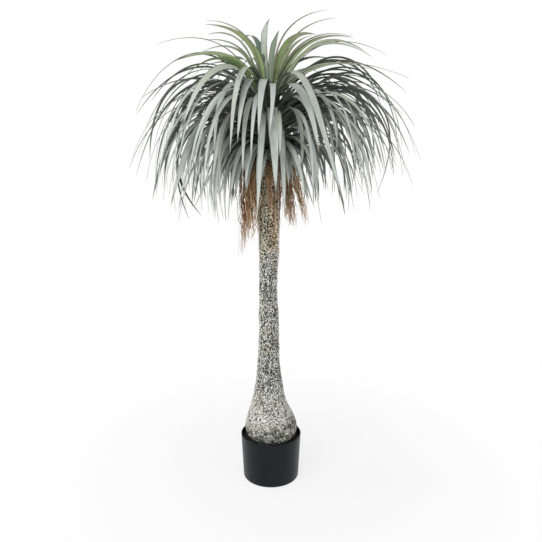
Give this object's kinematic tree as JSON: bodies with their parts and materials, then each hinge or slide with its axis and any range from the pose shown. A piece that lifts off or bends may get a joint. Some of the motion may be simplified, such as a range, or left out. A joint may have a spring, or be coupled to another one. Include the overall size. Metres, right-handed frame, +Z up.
{
  "type": "potted yucca",
  "caption": "Tall single-stemmed yucca with a swollen stem base, hanging dry fibre and a round crown of strap leaves, standing in soil in a plain dark pot.",
  "frame": {"origin": "centre of the pot's flat underside", "axes": "+Z up along the trunk, -Y towards the front of the plant, +X to the right as seen from the front"},
  "size_m": [0.854, 0.7513, 1.5049],
  "materials": {
    "pot": "satin blue-black plastic",
    "soil": "dark crumbly potting soil",
    "trunk": "rough speckled grey bark",
    "fibre": "dry reddish-brown leaf fibre",
    "leaf": "waxy grey-green leaf",
    "young_leaf": "fresh green leaf"
  },
  "bodies": {
    "root": {"pot": "pot", "soil": "soil", "trunk": "trunk", "fibre_tuft_1": "fibre", "fibre_tuft_2": "fibre", "fibre_tuft_3": "fibre", "fibre_tuft_4": "fibre", "fibre_tuft_5": "fibre", "fibre_tuft_6": "fibre", "fibre_tuft_7": "fibre", "fibre_tuft_8": "fibre", "leaf_01": "leaf", "leaf_02": "leaf", "leaf_03": "leaf", "leaf_04": "leaf", "leaf_05": "leaf", "leaf_06": "leaf", "leaf_07": "leaf", "leaf_08": "leaf", "leaf_09": "leaf", "leaf_10": "leaf", "leaf_11": "leaf", "leaf_12": "leaf", "leaf_13": "leaf", "leaf_14": "young_leaf", "leaf_15": "young_leaf", "leaf_16": "young_leaf", "leaf_17": "young_leaf", "leaf_18": "young_leaf", "leaf_19": "young_leaf", "leaf_20": "young_leaf", "leaf_21": "young_leaf", "leaf_22": "young_leaf", "leaf_23": "young_leaf", "leaf_24": "leaf", "leaf_25": "leaf", "leaf_26": "leaf", "leaf_27": "leaf", "leaf_28": "leaf", "leaf_29": "leaf", "leaf_30": "leaf", "leaf_31": "leaf", "leaf_32": "leaf", "leaf_33": "leaf", "leaf_34": "leaf", "leaf_35": "leaf", "leaf_36": "leaf", "leaf_37": "leaf", "leaf_38": "leaf", "leaf_39": "leaf", "leaf_40": "leaf", "leaf_41": "leaf", "leaf_42": "leaf", "leaf_43": "leaf", "leaf_44": "leaf", "leaf_45": "leaf", "leaf_46": "leaf", "leaf_47": "leaf", "leaf_48": "young_leaf"}
  },
  "joints": []
}
